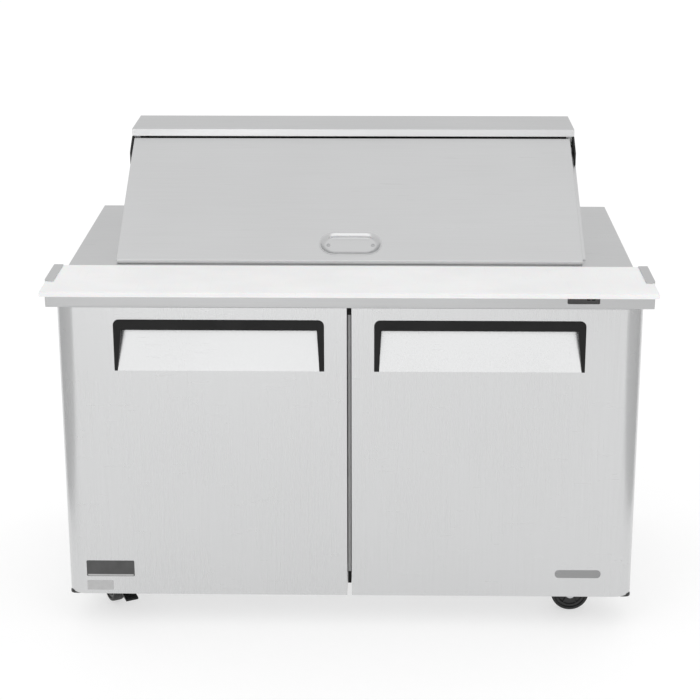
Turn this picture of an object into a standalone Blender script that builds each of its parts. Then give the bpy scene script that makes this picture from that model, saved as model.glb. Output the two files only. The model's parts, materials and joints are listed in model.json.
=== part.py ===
"""Two-door sandwich prep table with a raised hood, a sloped lid and a cutting board along its front.

Metres, +Z up, the front faces -Y. The origin is on the floor under the middle of the table.
"""

import math

import bmesh
import bpy
from mathutils import Matrix, Vector

# Overall envelope
RAIL_HALF = 0.764
FLOOR_TO_TOP = 1.222
FRONT_Y = -0.432
REAR_Y = 0.432
GAP = 0.0003
SHEET = 0.002

# Levels
CABINET_BOTTOM = 0.130
CABINET_TOP = 0.939
INTERIOR_FLOOR = 0.180
INTERIOR_TOP = 0.839
DECK_Z = 0.955
BODY_TOP = DECK_Z - SHEET - GAP
RAIL_TOP = 0.943
RAIL_BOTTOM = 0.893
DOOR_TOP = 0.887
DOOR_BOTTOM = 0.093
MACHINE_TOP = 0.540

# Cabinet
BODY_HALF = 0.725
BODY_FRONT = -0.273
BODY_REAR = 0.430
WALL = 0.050
RISER_FRONT = -0.188
MACHINE_FRONT = 0.235
MACHINE_HALF = 0.700
MULLION_HALF = 0.030
LINER_T = 0.0015
WORKTOP_HALF = 0.7275
WORKTOP_FRONT = -0.1905
HEM_Z = 0.915

# Pan well and its pans
WELL_HALF = 0.585
WELL_FRONT = -0.163
WELL_REAR = 0.372
WELL_CUT = (0.80, 1.00)
PAN_COLUMNS = 7
PAN_ROWS = ("front", "middle", "rear")
PAN_WIDE = 0.162
PAN_DEEP = 0.1765
PAN_HIGH = 0.100
PAN_WALL = 0.0015
PAN_TAPER = 0.0105
PAN_FRAME_LOW = 0.938
PAN_LEDGE_HALF = 0.5625
ROW_START = -0.158
RIM_Z = BODY_TOP + GAP

# Front rail, board and end brackets
RAIL_FRONT = -0.340
RAIL_BACK = -0.276
SHELF_BACK = -0.193
RAIL_SHEET = 0.0025
RAIL_FLANGE = 0.0035
DISPLAY_X = (0.546, 0.627)
DISPLAY_Z = (0.902, 0.925)
DISPLAY_PROUD = 0.0025
BOARD_HALF = 0.761
BOARD_BACK = -0.1915
BOARD_T = 0.0127
BOARD_BOTTOM = RAIL_TOP + GAP
BOARD_TOP = BOARD_BOTTOM + BOARD_T
BRACKET_IN = 0.740
BRACKET_CORNER = 0.013

# Doors
DOOR_HALF = 0.743
DOOR_INNER = 0.006
DOOR_FRONT = -0.335
DOOR_BACK = -0.287
DOOR_CURVE = 0.048
GASKET_BACK = -0.2735
GASKET_X = (0.012, 0.718)
GASKET_Z = (0.141, 0.868)
GASKET_W = 0.024
DOOR_LINER_X = (0.044, 0.690)
DOOR_LINER_Z = (0.172, 0.836)
HINGE_X = 0.725
HINGE_Y = -0.306
HINGE_PIN = 0.004
HINGE_BORE = 0.0045
HINGE_X_SPAN = (0.703, 0.741)
HINGE_FRONT = -0.322
HINGE_PLATE = 0.005

# Door pull: a black inverted U over a sloped pocket
PULL_IN = 0.0635
PULL_OUT = 0.5960
PULL_TOP = 0.8545
PULL_BOTTOM = 0.7185
PULL_BAR = 0.8275
PULL_PROUD = 0.0025
PULL_DEEP = 0.0098
POCKET_BACK = -0.2975
POCKET_TOP = 0.848

# Hood and lid
HOOD_HALF = 0.6125
HOOD_FRONT = 0.245
HOOD_SLAB = 0.020
CHEEK_T = 0.022
HOOD_REAR_T = 0.030
HOOD_SIDE_Y = 0.2575
LID_HALF = 0.603
LID_SHIFT = -0.003
LID_T = 0.030
LID_FRONT = Vector((-0.175, DECK_Z + 0.011))
LID_REAR = Vector((0.238, FLOOR_TO_TOP - 0.024))
LID_FOOT = DECK_Z + 0.003
LID_ALONG = (LID_REAR - LID_FRONT).normalized()
LID_UP = Vector((-LID_ALONG.y, LID_ALONG.x))
LID_PIVOT = LID_REAR - 0.016 * LID_ALONG - 0.012 * LID_UP
LID_SCOOP = 0.0265
CHEEK_CLEAR = 0.0012
LID_PIN = 0.004
LID_BORE = 0.0045
LID_PIN_END = 0.588
CUP_LONG = 0.164
CUP_WIDE = 0.083
CUP_FROM_EDGE = 0.061

# Casters
CASTER_X = 0.630
CASTER_FRONT_Y = -0.215
CASTER_REAR_Y = 0.345
CASTER_TRAIL = 0.038
WHEEL_R = 0.0508
WHEEL_HALF = 0.016
AXLE_R = 0.0059
AXLE_BORE = 0.0062
CROWN_TOP = 0.112
LEG_IN = 0.0185
LEG_OUT = 0.0215
PEDAL_PIVOT = Vector((-0.0315, 0.1075))
CASTERS = {
    "front_left": (-CASTER_X, CASTER_FRONT_Y, math.radians(117)),
    "front_right": (CASTER_X, CASTER_FRONT_Y, math.radians(180)),
    "rear_left": (-CASTER_X, CASTER_REAR_Y, math.radians(-80)),
    "rear_right": (CASTER_X, CASTER_REAR_Y, math.radians(-95)),
}

# Refrigeration
COMPRESSOR = Vector((-0.350, 0.335))
CONDENSER_X = (0.120, 0.440)
CONDENSER_Z = (0.150, 0.470)
CONDENSER_Y = 0.385
CONDENSER_FAN_R = 0.118
EVAPORATOR_HALF = 0.260
EVAPORATOR_Y = (0.250, 0.374)
EVAPORATOR_Z = (0.640, 0.830)
EVAPORATOR_FAN_R = 0.080
GRILLE_HALF = 0.715
GRILLE_Z = (0.136, 0.552)
LOUVRE_CENTRE = 0.345
LOUVRE_HALF = 0.280
LOUVRES = 11
LOUVRE_PITCH = 0.030
LOUVRE_GAP = 0.012

# Shelves
SHELF_X = (0.036, 0.668)
SHELF_Y = (-0.214, 0.178)
SHELF_Z = (0.470, 0.476)
SHELF_BAR = 0.006
SHELF_SPACES = 14

FINISHES = {
    "stainless": ((0.62, 0.63, 0.64), 0.32, 1.0),
    "stainless_dull": ((0.50, 0.51, 0.52), 0.42, 1.0),
    "polyethylene": ((0.86, 0.86, 0.85), 0.45, 0.0),
    "black_plastic": ((0.03, 0.03, 0.032), 0.45, 0.0),
    "white_plastic": ((0.80, 0.80, 0.79), 0.45, 0.0),
    "gasket_grey": ((0.22, 0.22, 0.23), 0.60, 0.0),
    "zinc": ((0.58, 0.58, 0.57), 0.38, 1.0),
    "tyre_rubber": ((0.035, 0.035, 0.035), 0.60, 0.0),
    "fan_plastic": ((0.08, 0.08, 0.085), 0.50, 0.0),
    "aluminium": ((0.72, 0.73, 0.74), 0.40, 1.0),
    "compressor_black": ((0.02, 0.02, 0.022), 0.35, 0.0),
    "display_glass": ((0.01, 0.01, 0.012), 0.15, 0.0),
    "wire_coating": ((0.75, 0.76, 0.76), 0.40, 0.0),
}

AXIS_FRAMES = {
    "X": Matrix(((0, 0, 1), (1, 0, 0), (0, 1, 0))),
    "Y": Matrix(((1, 0, 0), (0, 0, 1), (0, 1, 0))),
    "Z": Matrix.Identity(3),
}


def clear_scene():
    for old in list(bpy.data.objects):
        bpy.data.objects.remove(old, do_unlink=True)


def finish_material(node, finish):
    """A Principled material of the node's own."""
    colour, roughness, metallic = FINISHES[finish]
    made = bpy.data.materials.new(node)
    made.use_nodes = True
    shader = made.node_tree.nodes["Principled BSDF"]
    shader.inputs["Base Color"].default_value = (*colour, 1.0)
    shader.inputs["Roughness"].default_value = roughness
    shader.inputs["Metallic"].default_value = metallic
    return made


def object_from(bm):
    """A linked object with outward normals; name_node names it once it is finished."""
    bmesh.ops.recalc_face_normals(bm, faces=bm.faces)
    mesh = bpy.data.meshes.new("shape")
    bm.to_mesh(mesh)
    bm.free()
    made = bpy.data.objects.new("shape", mesh)
    bpy.context.scene.collection.objects.link(made)
    return made


def box(low, high):
    bm = bmesh.new()
    middle = (Vector(low) + Vector(high)) / 2
    size = Vector(high) - Vector(low)
    bmesh.ops.create_cube(bm, size=1.0, matrix=Matrix.Translation(middle) @ Matrix.Diagonal((*size, 1.0)))
    return object_from(bm)


def prism(outline, axis, start, end):
    """An outline drawn across an axis, (y, z), (x, z) or (x, y), and extruded along it."""
    turn = AXIS_FRAMES[axis]
    bm = bmesh.new()
    corners = [bm.verts.new(turn @ Vector((p[0], p[1], start))) for p in outline]
    face = bm.faces.new(corners)
    swept = bmesh.ops.extrude_face_region(bm, geom=[face])["geom"]
    moved = [v for v in swept if isinstance(v, bmesh.types.BMVert)]
    bmesh.ops.translate(bm, verts=moved, vec=turn @ Vector((0, 0, end - start)))
    bmesh.ops.triangulate(bm, faces=[f for f in bm.faces if len(f.verts) > 4])
    return object_from(bm)


def tapered_box(centre, top_z, top_half, bottom_z, bottom_half):
    bm = bmesh.new()
    rings = []
    for z, half in ((bottom_z, bottom_half), (top_z, top_half)):
        signs = ((-1, -1), (1, -1), (1, 1), (-1, 1))
        rings.append([bm.verts.new((centre[0] + a * half[0], centre[1] + b * half[1], z)) for a, b in signs])
    bm.faces.new(rings[0])
    bm.faces.new(rings[1])
    for i in range(4):
        j = (i + 1) % 4
        bm.faces.new((rings[0][i], rings[0][j], rings[1][j], rings[1][i]))
    return object_from(bm)


def lathe(profile, axis, centre, steps=32):
    """A closed profile of (radius, height) turned about an axis through centre."""
    turn = AXIS_FRAMES[axis]
    bm = bmesh.new()
    rings = []
    for radius, height in profile:
        if radius == 0:
            rings.append([bm.verts.new(turn @ Vector((0, 0, height)) + Vector(centre))])
            continue
        ring = []
        for k in range(steps):
            angle = 2 * math.pi * k / steps
            spot = Vector((radius * math.cos(angle), radius * math.sin(angle), height))
            ring.append(bm.verts.new(turn @ spot + Vector(centre)))
        rings.append(ring)
    closed = profile[0][0] != 0
    pairs = list(zip(rings, rings[1:]))
    if closed:
        pairs.append((rings[-1], rings[0]))
    for low, high in pairs:
        for k in range(steps):
            after = (k + 1) % steps
            near = [low[k % len(low)], low[after % len(low)]]
            far = [high[after % len(high)], high[k % len(high)]]
            bm.faces.new(dict.fromkeys(near + far))
    return object_from(bm)


def rod(axis, centre, radius, low, high, steps=16):
    return lathe([(0, low), (radius, low), (radius, high), (0, high)], axis, centre, steps)


def arc(centre, radius, start, end, steps):
    """Points along an arc, degrees, counter-clockwise when end is above start."""
    points = []
    for k in range(steps + 1):
        angle = math.radians(start + (end - start) * k / steps)
        points.append((centre[0] + radius * math.cos(angle), centre[1] + radius * math.sin(angle)))
    return points


def obround(length, width, steps=10):
    radius = width / 2
    reach = length / 2 - radius
    return arc((reach, 0), radius, -90, 90, steps) + arc((-reach, 0), radius, 90, 270, steps)


def mirrored(outline):
    return [(-p[0], p[1]) for p in outline]


def boolean(target, tool, operation):
    """Applies an exact Boolean at once and removes the tool."""
    modifier = target.modifiers.new(operation.lower(), "BOOLEAN")
    modifier.operation = operation
    modifier.object = tool
    bpy.context.view_layer.update()
    graph = bpy.context.evaluated_depsgraph_get()
    result = bpy.data.meshes.new_from_object(target.evaluated_get(graph))
    target.modifiers.remove(modifier)
    target.data = result
    bpy.data.objects.remove(tool, do_unlink=True)
    return target


def cut(target, *tools):
    for tool in tools:
        boolean(target, tool, "DIFFERENCE")
    return target


def join(target, *tools):
    for tool in tools:
        boolean(target, tool, "UNION")
    return target


def round_edges(target, width, segments=2):
    modifier = target.modifiers.new("rounded", "BEVEL")
    modifier.width = width
    modifier.segments = segments
    modifier.limit_method = "ANGLE"
    modifier.angle_limit = math.radians(40)
    return target


def name_node(made, name, finish, pivot=None):
    """Names a finished sub-part, gives it its material and puts its origin on its pivot."""
    made.name = name
    made.data.name = name
    made.data.materials.clear()
    made.data.materials.append(finish_material(name, finish))
    made.data.shade_smooth()
    made.data.set_sharp_from_angle(angle=math.radians(30))
    if pivot is not None:
        made.data.transform(Matrix.Translation(-Vector(pivot)))
        made.location = pivot
    return made


def along_x(y_z_pairs, start, end):
    return prism(y_z_pairs, "X", start, end)


def interior_outline(inset):
    """The L-shaped space above and in front of the machine compartment, as (y, z)."""
    low_back = MACHINE_FRONT - WALL - inset
    step = MACHINE_TOP + WALL + inset
    back = BODY_REAR - WALL - inset
    floor = INTERIOR_FLOOR + inset
    top = INTERIOR_TOP - inset
    return floor, low_back, step, back, top


def interior_solid(inset, front, half):
    floor, low_back, step, back, top = interior_outline(inset)
    outline = [(front, floor), (low_back, floor), (low_back, step), (back, step), (back, top), (front, top)]
    return along_x(outline, -half, half)


def well_cutter():
    return box((-WELL_HALF, WELL_FRONT, WELL_CUT[0]), (WELL_HALF, WELL_REAR, WELL_CUT[1]))


def make_cabinet():
    body = box((-BODY_HALF, BODY_FRONT, CABINET_BOTTOM), (BODY_HALF, BODY_REAR, CABINET_TOP))
    join(body, box((-BODY_HALF, RISER_FRONT, 0.90), (BODY_HALF, BODY_REAR, BODY_TOP)))
    cut(body, interior_solid(0, BODY_FRONT - WALL, BODY_HALF - WALL))
    cut(body, box((-MACHINE_HALF, MACHINE_FRONT, 0.05), (MACHINE_HALF, BODY_REAR + WALL, MACHINE_TOP)))
    cut(body, well_cutter())
    mullion_low = (-MULLION_HALF, BODY_FRONT, INTERIOR_FLOOR - 0.01)
    mullion_high = (MULLION_HALF, BODY_FRONT + WALL, INTERIOR_TOP + 0.01)
    join(body, box(mullion_low, mullion_high))
    name_node(body, "cabinet_body", "stainless")

    liner = interior_solid(GAP, BODY_FRONT + WALL + 0.001, BODY_HALF - WALL - GAP)
    cut(liner, interior_solid(GAP + LINER_T, BODY_FRONT - WALL, BODY_HALF - WALL - GAP - LINER_T))
    cut(liner, well_cutter())
    name_node(liner, "interior_liner", "stainless_dull")


def make_worktop():
    half = WORKTOP_HALF
    front = WORKTOP_FRONT
    low, high = WELL_CUT
    top = box((-half, front, HEM_Z), (half, REAR_Y, DECK_Z))
    cut(top, box((-half + SHEET, front + SHEET, low), (half - SHEET, BODY_REAR + GAP, DECK_Z - SHEET)))
    cut(top, box((-RAIL_HALF, front - WALL, low), (RAIL_HALF, front + SHEET + GAP, RAIL_TOP - RAIL_FLANGE)))
    well_low = (-WELL_HALF - 0.005, WELL_FRONT - 0.003, low)
    cut(top, box(well_low, (WELL_HALF + 0.005, WELL_REAR + 0.003, high)))
    name_node(top, "worktop", "stainless")


def make_front_rail():
    rail = box((-RAIL_HALF, RAIL_FRONT, RAIL_BOTTOM), (RAIL_HALF, RAIL_BACK, RAIL_TOP))
    inner = RAIL_HALF - RAIL_SHEET
    hollow_low = (-inner, RAIL_FRONT + RAIL_SHEET, RAIL_BOTTOM - 0.01)
    hollow_high = (inner, RAIL_BACK - RAIL_SHEET, RAIL_TOP - RAIL_SHEET)
    cut(rail, box(hollow_low, hollow_high))
    flange_low = (-RAIL_HALF, RAIL_BACK - 0.001, RAIL_TOP - RAIL_FLANGE)
    join(rail, box(flange_low, (RAIL_HALF, SHELF_BACK, RAIL_TOP)))
    for side in (-1, 1):
        ends = sorted((side * inner, side * RAIL_HALF))
        join(rail, box((ends[0], RAIL_BACK - 0.001, HEM_Z), (ends[1], SHELF_BACK, RAIL_TOP)))
    name_node(rail, "front_rail", "stainless")

    window_low = (DISPLAY_X[0], RAIL_FRONT - DISPLAY_PROUD, DISPLAY_Z[0])
    window = box(window_low, (DISPLAY_X[1], RAIL_FRONT - GAP, DISPLAY_Z[1]))
    name_node(round_edges(window, 0.0008), "temperature_display", "display_glass")


def make_board():
    board = box((-BOARD_HALF, FRONT_Y, BOARD_BOTTOM), (BOARD_HALF, BOARD_BACK, BOARD_TOP))
    name_node(round_edges(board, 0.0018), "cutting_board", "polyethylene")
    corner = BRACKET_CORNER
    flange_low = BOARD_TOP + GAP
    outline = [(BRACKET_IN, SHELF_BACK), (BRACKET_IN, RAIL_FRONT)]
    outline += arc((RAIL_HALF - corner, RAIL_FRONT + corner), corner, -90, 0, 6)
    outline += [(RAIL_HALF, SHELF_BACK)]
    for side, flip in (("left", -1), ("right", 1)):
        shape = outline if flip > 0 else mirrored(outline)
        bracket = prism(shape, "Z", flange_low, flange_low + SHEET)
        wall_x = sorted((flip * (BOARD_HALF + 0.0005), flip * RAIL_HALF))
        low = (wall_x[0], RAIL_FRONT + corner, BOARD_BOTTOM)
        join(bracket, box(low, (wall_x[1], SHELF_BACK, flange_low + SHEET)))
        name_node(bracket, f"board_bracket_{side}", "stainless")


def make_pans():
    gap = 0.0005
    frame_low = (-WELL_HALF + gap, WELL_FRONT + gap, PAN_FRAME_LOW)
    frame = box(frame_low, (WELL_HALF - gap, WELL_REAR - gap, BODY_TOP))
    rail = 0.006
    ledge = PAN_LEDGE_HALF
    half_row = PAN_COLUMNS * PAN_WIDE / 2
    for row, label in enumerate(PAN_ROWS):
        near = ROW_START + row * PAN_DEEP
        far = near + PAN_DEEP
        cut(frame, box((-ledge, near + rail, 0.90), (ledge, far - rail, 1.0)))
        pans = box((-half_row, near + GAP, RIM_Z), (half_row, far - GAP, RIM_Z + SHEET))
        top_half = (PAN_WIDE / 2 - 0.0055, PAN_DEEP / 2 - 0.0078)
        for column in range(PAN_COLUMNS):
            centre = ((column - (PAN_COLUMNS - 1) / 2) * PAN_WIDE, (near + far) / 2)
            low_half = [half - PAN_TAPER for half in top_half]
            bottom = RIM_Z + SHEET - PAN_HIGH
            join(pans, tapered_box(centre, RIM_Z + SHEET / 2, top_half, bottom, low_half))
        for column in range(PAN_COLUMNS):
            centre = ((column - (PAN_COLUMNS - 1) / 2) * PAN_WIDE, (near + far) / 2)
            inner_top = [half - PAN_WALL for half in top_half]
            inner_low = [half - PAN_WALL - PAN_TAPER for half in top_half]
            cut(pans, tapered_box(centre, RIM_Z + 0.01, inner_top, bottom + PAN_WALL, inner_low))
        name_node(pans, f"pan_row_{label}", "stainless_dull")
    name_node(frame, "pan_frame", "stainless_dull")


def lid_underside(y):
    """Height of the lid's sloping underside at y."""
    corner = LID_REAR - LID_T * LID_UP
    return corner.y + (y - corner.x) * LID_ALONG.y / LID_ALONG.x


def lid_underside_y(z):
    corner = LID_REAR - LID_T * LID_UP
    return corner.x + (z - corner.y) * LID_ALONG.x / LID_ALONG.y


def make_hood():
    base = DECK_Z + GAP
    nose = base + 0.002
    lip = FLOOR_TO_TOP - HOOD_SLAB
    outline = [
        (lid_underside_y(nose + CHEEK_CLEAR), base),
        (REAR_Y, base),
        (REAR_Y, FLOOR_TO_TOP),
        (HOOD_FRONT, FLOOR_TO_TOP),
        (HOOD_FRONT, lip),
        (HOOD_SIDE_Y, lip),
        (HOOD_SIDE_Y, lid_underside(HOOD_SIDE_Y) - CHEEK_CLEAR),
        (lid_underside_y(nose + CHEEK_CLEAR), nose),
    ]
    shell = along_x(outline, -HOOD_HALF, HOOD_HALF)
    inner = HOOD_HALF - CHEEK_T
    cut(shell, box((-inner, -0.20, 0.90), (inner, REAR_Y - HOOD_REAR_T, lip)))
    scoop_half = HOOD_HALF - 0.0055
    cut(shell, rod("X", (0, *LID_PIVOT), LID_SCOOP, -scoop_half, scoop_half, 32))
    name_node(shell, "hood_shell", "stainless")

    back = REAR_Y - HOOD_REAR_T
    skin = 0.0027
    liner_outline = [
        (HOOD_FRONT + 0.0025, lip - GAP - skin),
        (back - GAP - skin, lip - GAP - skin),
        (back - GAP - skin, 0.970),
        (back - GAP, 0.970),
        (back - GAP, lip - GAP),
        (HOOD_FRONT + 0.0025, lip - GAP),
    ]
    liner = along_x(liner_outline, -inner + 0.0005, inner - 0.0005)
    name_node(liner, "hood_liner", "black_plastic")

    outer_slope = LID_ALONG.y / LID_ALONG.x
    near = 0.188
    far = HOOD_SIDE_Y - 0.0007
    rise = 0.0004 - CHEEK_CLEAR
    bracket_outline = [
        (near, lid_underside(near) + rise),
        (far, lid_underside(far) + rise),
        (far, lip - 0.0005),
        (LID_REAR.x + 0.004, lip - 0.0005),
        (near, LID_REAR.y + (near - LID_REAR.x) * outer_slope - 0.001),
    ]
    for side, flip in (("left", -1), ("right", 1)):
        span = sorted((flip * (HOOD_HALF - 0.005), flip * HOOD_HALF))
        bracket = along_x(bracket_outline, *span)
        pin = sorted((flip * LID_PIN_END, flip * (HOOD_HALF - 0.002)))
        join(bracket, rod("X", (0, *LID_PIVOT), LID_PIN, *pin))
        name_node(bracket, f"lid_pivot_bracket_{side}", "black_plastic")


def lid_band(depth_low, depth_high, margin):
    """A band under the lid's outer face, between two depths, kept in from both ends by a margin."""
    low_end = Vector((lid_underside_y(LID_FOOT), LID_FOOT)) + margin * LID_ALONG
    high_end = LID_REAR - LID_T * LID_UP - margin * LID_ALONG
    low_lift = (LID_T - depth_low) * LID_UP
    high_lift = (LID_T - depth_high) * LID_UP
    return [tuple(low_end + high_lift), tuple(high_end + high_lift), tuple(high_end + low_lift),
            tuple(low_end + low_lift)]


def on_lid(outline, low, high):
    """An outline drawn on the lid's outer face about the cup's centre, extruded along the face's normal."""
    shape = prism(outline, "Z", low, high)
    centre = LID_FRONT + CUP_FROM_EDGE * LID_ALONG
    frame = Matrix(((1, 0, 0, 0), (0, LID_ALONG.x, LID_UP.x, centre.x),
                    (0, LID_ALONG.y, LID_UP.y, centre.y), (0, 0, 0, 1)))
    shape.data.transform(frame)
    return shape


def make_lid():
    left = LID_SHIFT - LID_HALF
    right = LID_SHIFT + LID_HALF
    pivot = (0, *LID_PIVOT)
    outline = [
        (LID_FRONT.x, LID_FOOT),
        tuple(LID_FRONT),
        tuple(LID_REAR),
        tuple(LID_REAR - LID_T * LID_UP),
        (lid_underside_y(LID_FOOT), LID_FOOT),
    ]
    recess = 0.015
    panel = along_x(outline, left, right)
    cut(panel, along_x(lid_band(LID_T - 0.0033, LID_T + 0.01, 0.025), left + recess, right - recess))
    for end in (-1, 1):
        span = sorted((end * (LID_PIN_END - 0.002), end * 0.65))
        cut(panel, rod("X", pivot, LID_BORE, *span))
    cut(panel, on_lid(obround(0.1300, 0.0640), -0.0135, 0.02))
    name_node(panel, "lid_panel", "stainless", pivot)

    liner = along_x(lid_band(LID_T - 0.003, LID_T, 0.0253), left + recess + GAP, right - recess - GAP)
    name_node(liner, "lid_liner", "white_plastic", pivot)

    cup = on_lid(obround(0.1290, 0.0630), -0.0130, 0.0010)
    join(cup, on_lid(obround(CUP_LONG, CUP_WIDE), GAP, 0.0016))
    cut(cup, on_lid(obround(0.1260, 0.0600), -0.0115, 0.02))
    name_node(cup, "lid_handle", "stainless", pivot)


def pull_outline(grow):
    """The black inverted U of the right-hand door as (x, z), grown outward by grow."""
    corner = 0.015
    left = PULL_IN - grow
    right = PULL_OUT + grow
    top = PULL_TOP + grow
    low = PULL_BOTTOM - grow
    points = [(left, low), (left, top - corner)]
    points += arc((left + corner, top - corner), corner, 180, 90, 5)[1:]
    points += arc((right - corner, top - corner), corner, 90, 0, 5)
    points += [(right, low), (PULL_OUT - 0.0074 - grow, low), (PULL_OUT - 0.0198 - grow, PULL_BAR - grow)]
    points += [(PULL_IN + 0.0180 + grow, PULL_BAR - grow), (PULL_IN + 0.0120 + grow, low)]
    return points


def make_doors():
    back = DOOR_BACK
    plan = [(DOOR_INNER, back), (DOOR_INNER, DOOR_FRONT)]
    plan += arc((DOOR_HALF - DOOR_CURVE, back), DOOR_CURVE, -90, 0, 12)
    for side, flip in (("left", -1), ("right", 1)):

        def placed(outline):
            return outline if flip > 0 else mirrored(outline)

        def span(low, high):
            return sorted((flip * low, flip * high))

        pivot = (flip * HINGE_X, HINGE_Y, 0)
        panel = prism(placed(plan), "Z", DOOR_BOTTOM, DOOR_TOP)
        cut(panel, prism(placed(pull_outline(GAP)), "Y", DOOR_FRONT - 0.02, DOOR_FRONT + PULL_DEEP + GAP))
        pocket = [(DOOR_FRONT - 0.02, PULL_BOTTOM), (DOOR_FRONT, PULL_BOTTOM), (POCKET_BACK, 0.835),
                  (POCKET_BACK, POCKET_TOP), (DOOR_FRONT - 0.02, POCKET_TOP)]
        cut(panel, along_x(pocket, *span(PULL_IN + 0.0118, PULL_OUT - 0.0072)))
        cut(panel, rod("Z", pivot, HINGE_BORE, DOOR_BOTTOM - 0.01, DOOR_BOTTOM + 0.014))
        cut(panel, rod("Z", pivot, HINGE_BORE, DOOR_TOP - 0.014, DOOR_TOP + 0.01))
        name_node(panel, f"door_panel_{side}", "stainless", pivot)

        x = span(*DOOR_LINER_X)
        liner = box((x[0], back + GAP, DOOR_LINER_Z[0]), (x[1], back + 0.007, DOOR_LINER_Z[1]))
        name_node(round_edges(liner, 0.002), f"door_liner_{side}", "white_plastic", pivot)

        x = span(*GASKET_X)
        gasket = box((x[0], back + GAP, GASKET_Z[0]), (x[1], GASKET_BACK, GASKET_Z[1]))
        x = span(GASKET_X[0] + GASKET_W, GASKET_X[1] - GASKET_W)
        low = (x[0], back - 0.01, GASKET_Z[0] + GASKET_W)
        cut(gasket, box(low, (x[1], back + 0.03, GASKET_Z[1] - GASKET_W)))
        name_node(gasket, f"door_gasket_{side}", "gasket_grey", pivot)

        trim = prism(placed(pull_outline(0)), "Y", DOOR_FRONT - PULL_PROUD, DOOR_FRONT + PULL_DEEP)
        name_node(trim, f"handle_trim_{side}", "black_plastic", pivot)

        make_door_hinges(side, span, pivot)


def make_door_hinges(side, span, pivot):
    plate = HINGE_PLATE
    foot_top = DOOR_BOTTOM - 0.0008
    web = -0.2435
    x = span(*HINGE_X_SPAN)
    lower = box((x[0], HINGE_FRONT, foot_top - plate), (x[1], web, foot_top))
    join(lower, box((x[0], web - plate, foot_top - plate), (x[1], web, CABINET_BOTTOM - GAP)))
    join(lower, box((x[0], web - plate, CABINET_BOTTOM - 0.0043), (x[1], -0.2050, CABINET_BOTTOM - GAP)))
    join(lower, rod("Z", pivot, HINGE_PIN, foot_top - 0.002, DOOR_BOTTOM + 0.012))
    name_node(lower, f"door_hinge_lower_{side}", "zinc")

    tab = BODY_FRONT - 0.0005
    upper = box((x[0], HINGE_FRONT, DOOR_TOP + 0.0015), (x[1], tab, DOOR_TOP + 0.0050))
    x = span(HINGE_X_SPAN[0], BODY_HALF - 0.001)
    join(upper, box((x[0], tab - 0.0022, DOOR_TOP + 0.0015), (x[1], tab, 0.930)))
    join(upper, rod("Z", pivot, HINGE_PIN, DOOR_TOP - 0.012, DOOR_TOP + 0.003))
    name_node(upper, f"door_hinge_upper_{side}", "zinc")


def caster_mount():
    half_x, half_y = 0.0475, 0.034
    mount = box((-half_x, -half_y, CABINET_BOTTOM - 0.0033), (half_x, half_y, CABINET_BOTTOM - GAP))
    bottom = CROWN_TOP + 0.0005
    race = [(0, bottom), (0.017, bottom), (0.022, 0.116), (0.025, 0.1272), (0, 0.1272)]
    return join(mount, lathe(race, "Z", (0, 0, 0), 24))


def caster_fork(braked):
    crown_low = 0.1045
    crown = prism([(-0.022, -LEG_OUT), (0.030, -LEG_OUT), (0.030, LEG_OUT), (-0.022, LEG_OUT)],
                  "Z", crown_low, CROWN_TOP)
    boss = arc((CASTER_TRAIL, WHEEL_R), 0.013, 20, -200, 10)
    leg = [(-0.022, 0.098), (-0.022, CROWN_TOP), (0.030, CROWN_TOP)] + boss
    for low, high in ((-LEG_OUT, -LEG_IN), (LEG_IN, LEG_OUT)):
        join(crown, prism(leg, "Y", low, high))
    cut(crown, rod("Y", (CASTER_TRAIL, 0, WHEEL_R), AXLE_BORE, -0.03, 0.03, 20))
    if braked:
        for low, high in ((-0.0155, -0.0108), (0.0108, 0.0155)):
            join(crown, box((-0.0365, low, 0.1035), (-0.0200, high, CROWN_TOP)))
    return crown


def caster_wheel():
    rim = WHEEL_R - 0.009
    shoulder = 0.004
    half = [(AXLE_BORE, 0.0155), (0.013, 0.0155), (0.016, 0.010), (rim - 0.004, 0.010), (rim, 0.0145)]
    tread = [(WHEEL_R - shoulder, WHEEL_HALF), (WHEEL_R - 0.001, WHEEL_HALF - 0.0025), (WHEEL_R, 0.009)]
    outer = half + tread
    profile = outer + [(r, -h) for r, h in reversed(outer)]
    return lathe(profile, "Y", (CASTER_TRAIL, 0, WHEEL_R), 36)


def caster_axle():
    axle = rod("Y", (CASTER_TRAIL, 0, WHEEL_R), AXLE_R, -0.0240, 0.0240, 16)
    for low, high in ((-0.0275, -0.0218), (0.0218, 0.0275)):
        join(axle, rod("Y", (CASTER_TRAIL, 0, WHEEL_R), 0.0095, low, high, 6))
    return axle


def brake_pedal():
    pivot = (PEDAL_PIVOT.x, 0, PEDAL_PIVOT.y)
    pedal = rod("Y", pivot, 0.0040, -0.0100, 0.0100, 12)
    join(pedal, box((-0.0420, -0.0100, 0.1045), (-0.0315, 0.0100, 0.1105)))
    tread = [(-0.0385, 0.1045), (-0.0385, 0.1105), (-0.0540, 0.0930), (-0.0700, 0.0780),
             (-0.1150, 0.0700), (-0.1150, 0.0640), (-0.0680, 0.0720), (-0.0500, 0.0880)]
    join(pedal, prism(tread, "Y", -0.0170, 0.0170))
    return pedal


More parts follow.
